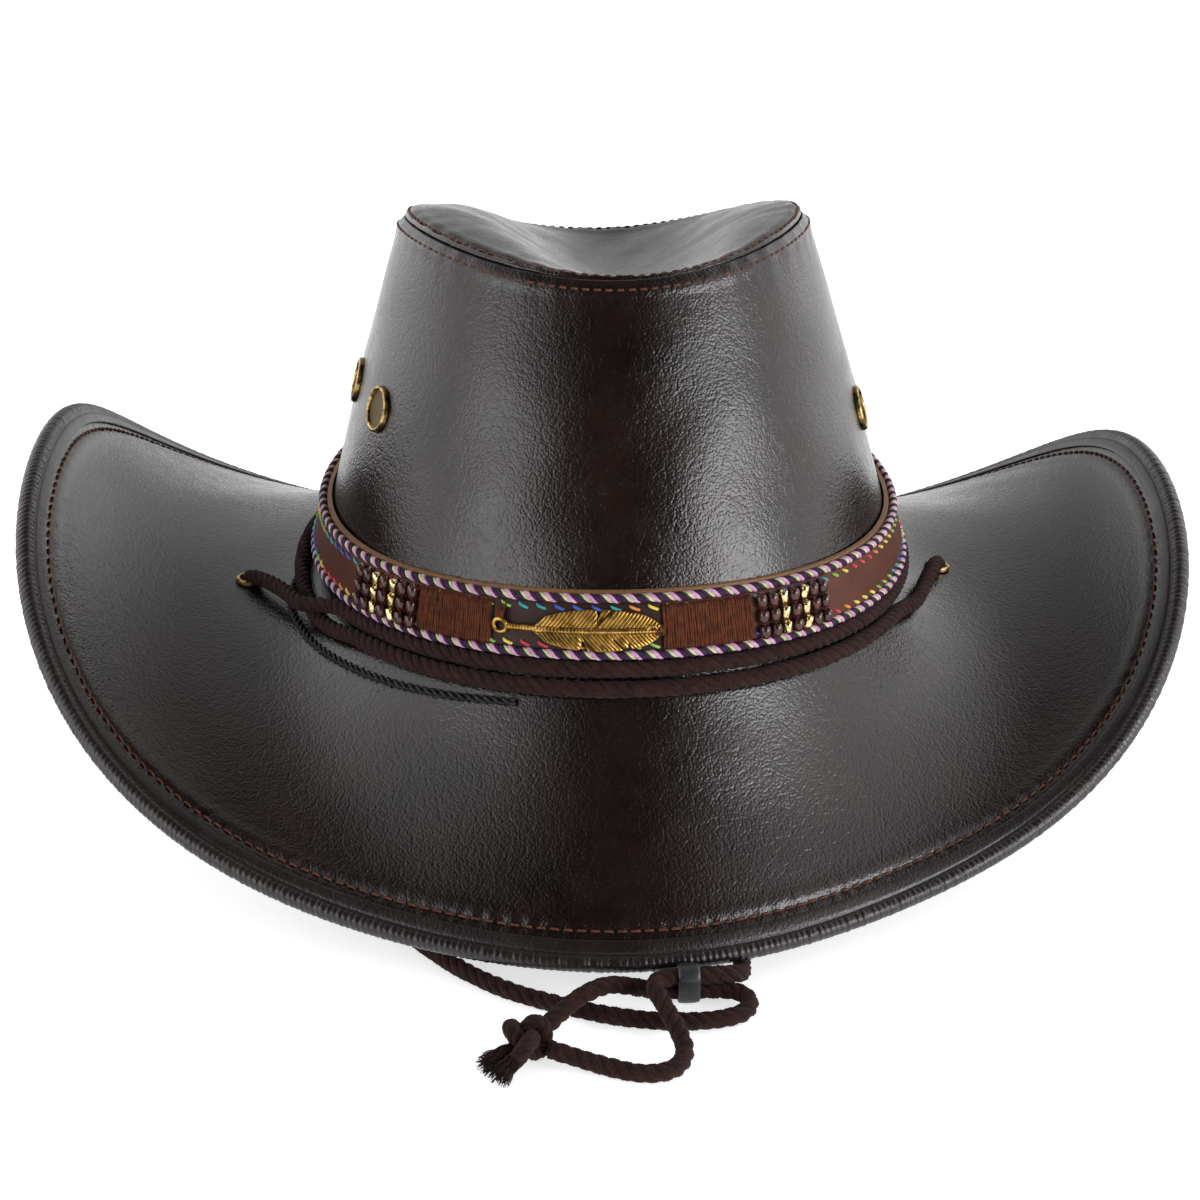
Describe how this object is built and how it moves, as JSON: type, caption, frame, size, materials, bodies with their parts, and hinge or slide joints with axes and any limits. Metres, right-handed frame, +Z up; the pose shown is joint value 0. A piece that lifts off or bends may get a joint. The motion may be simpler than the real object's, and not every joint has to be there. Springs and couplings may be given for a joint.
{
  "type": "cowboy hat",
  "caption": "Dark brown pebbled-leather cowboy hat with rolled side brim, beaded leather band with feather charm, brass eyelets and a corded chin strap with slider",
  "frame": {"origin": "on the floor under the middle of the brim's outline", "axes": "+Z up, the front of the hat faces -Y, X across the hat from the viewer's left to right"},
  "size_m": [0.3279, 0.3243, 0.1605],
  "materials": {
    "pebbled_leather": "dark brown pebbled leather cloth, semi-gloss",
    "binding_leather": "dark brown leather cloth, rolled over the brim's edge",
    "lining_cloth": "dark woven lining",
    "sweatband_leather": "smooth brown",
    "stiffener_felt": "pressed felt",
    "steel_wire": "spring steel",
    "brown_thread": "waxed brown thread",
    "antique_brass": "antique brass plating",
    "brass_gauze": "dull brass gauze",
    "band_leather": "plain brown leather",
    "backing_leather": "raw tan edge and back",
    "piping_cord": "twisted pink, green and purple yarns",
    "rainbow_thread": "space-dyed thread",
    "rust_thread": "rust brown waxed thread",
    "brown_beads": "glossy dark brown glass seed beads",
    "gold_beads": "bright gold lined beads",
    "antique_gold": "antique gold cast metal",
    "cotton_cord": "dark brown twisted cotton",
    "black_lace": "black glossy lace",
    "slider_plastic": "dark grey"
  },
  "bodies": {
    "root": {"crown_side_panel": "pebbled_leather", "crown_tip_panel": "pebbled_leather", "crown_lining": "lining_cloth", "sweatband": "sweatband_leather", "brim_upper_panel": "pebbled_leather", "brim_stiffener": "stiffener_felt", "brim_under_panel": "pebbled_leather", "brim_edge_binding": "binding_leather", "brim_edge_wire": "steel_wire", "brim_edge_stitching": "brown_thread", "crown_lower_stitching": "brown_thread", "crown_upper_stitching": "brown_thread", "vent_eyelets": "antique_brass", "vent_screens": "brass_gauze", "vent_eyelet_washers": "antique_brass", "brim_eyelets": "antique_brass", "brim_eyelet_washers": "antique_brass", "chin_cord_crown_wrap": "cotton_cord", "band_tie_lace": "black_lace", "chin_cord_left": "cotton_cord", "chin_cord_right": "cotton_cord", "cord_knot": "cotton_cord", "cord_tails": "cotton_cord"},
    "hatband": {"band_backing": "backing_leather", "band_strap": "band_leather", "band_piping_lower": "piping_cord", "band_piping_upper": "piping_cord", "band_thread_lower": "rainbow_thread", "band_thread_upper": "rainbow_thread", "thread_wrap_left": "rust_thread", "thread_wrap_right": "rust_thread", "brown_beads": "brown_beads", "gold_beads": "gold_beads", "feather_charm": "antique_gold", "feather_lace_left": "rust_thread", "feather_lace_right": "rust_thread"},
    "slider": {"cord_slider": "slider_plastic"}
  },
  "joints": [
    {"name": "hatband_lift", "type": "slide", "parent": "root", "child": "hatband", "axis": [0, 0, 1], "range_m": [0, 0.1]},
    {"name": "slider_slide", "type": "slide", "parent": "root", "child": "slider", "axis": [1, 0, 0], "range_m": [-0.001, 0.0025]}
  ]
}
